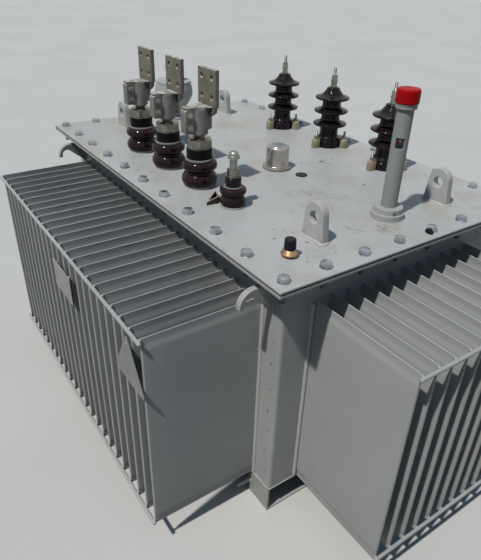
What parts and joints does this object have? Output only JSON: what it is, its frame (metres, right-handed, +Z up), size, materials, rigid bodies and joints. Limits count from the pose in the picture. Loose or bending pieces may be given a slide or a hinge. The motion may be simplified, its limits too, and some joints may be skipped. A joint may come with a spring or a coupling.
{
  "type": "oil-filled power transformer",
  "caption": "Oil-filled power transformer with a tank of folded cooling fins, bushings and fittings on a bolted cover, and skids underneath.",
  "frame": {"origin": "on the ground, under the centre of the tank and cover", "axes": "+X along the long side, -Y towards the side with the low-voltage bushings, +Z up"},
  "size_m": [1.8978, 1.3878, 1.1213],
  "materials": {
    "light_grey_paint": "satin light grey paint, dusty and scuffed",
    "black_rubber": "matt",
    "brown_glaze": "glossy dark brown glaze",
    "tinned_brass": "tinned, dull",
    "yellow_zinc": "yellow zinc plating, worn",
    "chrome": "bright, dusty",
    "brass": "dull",
    "black_plastic": "matt",
    "red_plastic": "satin red"
  },
  "bodies": {
    "root": {"blanking_plug": "black_plastic", "cover_gasket": "black_rubber", "cover_plate": "light_grey_paint", "front_wall": "light_grey_paint", "hv_1_front_claw": "yellow_zinc", "hv_1_left_claw": "yellow_zinc", "hv_1_porcelain": "brown_glaze", "hv_1_right_claw": "yellow_zinc", "hv_1_stud": "tinned_brass", "hv_2_front_claw": "yellow_zinc", "hv_2_left_claw": "yellow_zinc", "hv_2_porcelain": "brown_glaze", "hv_2_right_claw": "yellow_zinc", "hv_2_stud": "tinned_brass", "hv_3_front_claw": "yellow_zinc", "hv_3_left_claw": "yellow_zinc", "hv_3_porcelain": "brown_glaze", "hv_3_right_claw": "yellow_zinc", "hv_3_stud": "tinned_brass", "left_skid": "light_grey_paint", "left_wall": "light_grey_paint", "lv_1_clamp": "tinned_brass", "lv_1_porcelain": "brown_glaze", "lv_1_stud": "tinned_brass", "lv_2_clamp": "tinned_brass", "lv_2_porcelain": "brown_glaze", "lv_2_stud": "tinned_brass", "lv_3_clamp": "tinned_brass", "lv_3_porcelain": "brown_glaze", "lv_3_stud": "tinned_brass", "neutral_porcelain": "brown_glaze", "neutral_stud": "tinned_brass", "oil_filler": "light_grey_paint", "oil_gauge": "light_grey_paint", "oil_gauge_cap": "red_plastic", "rating_plate": "light_grey_paint", "rear_wall": "light_grey_paint", "right_skid": "light_grey_paint", "right_wall": "light_grey_paint", "tank_flange": "light_grey_paint", "tank_floor": "light_grey_paint", "tap_changer_cap": "chrome", "thermometer_cap": "black_plastic", "thermometer_pocket": "brass", "warning_plate": "light_grey_paint"}
  },
  "joints": []
}
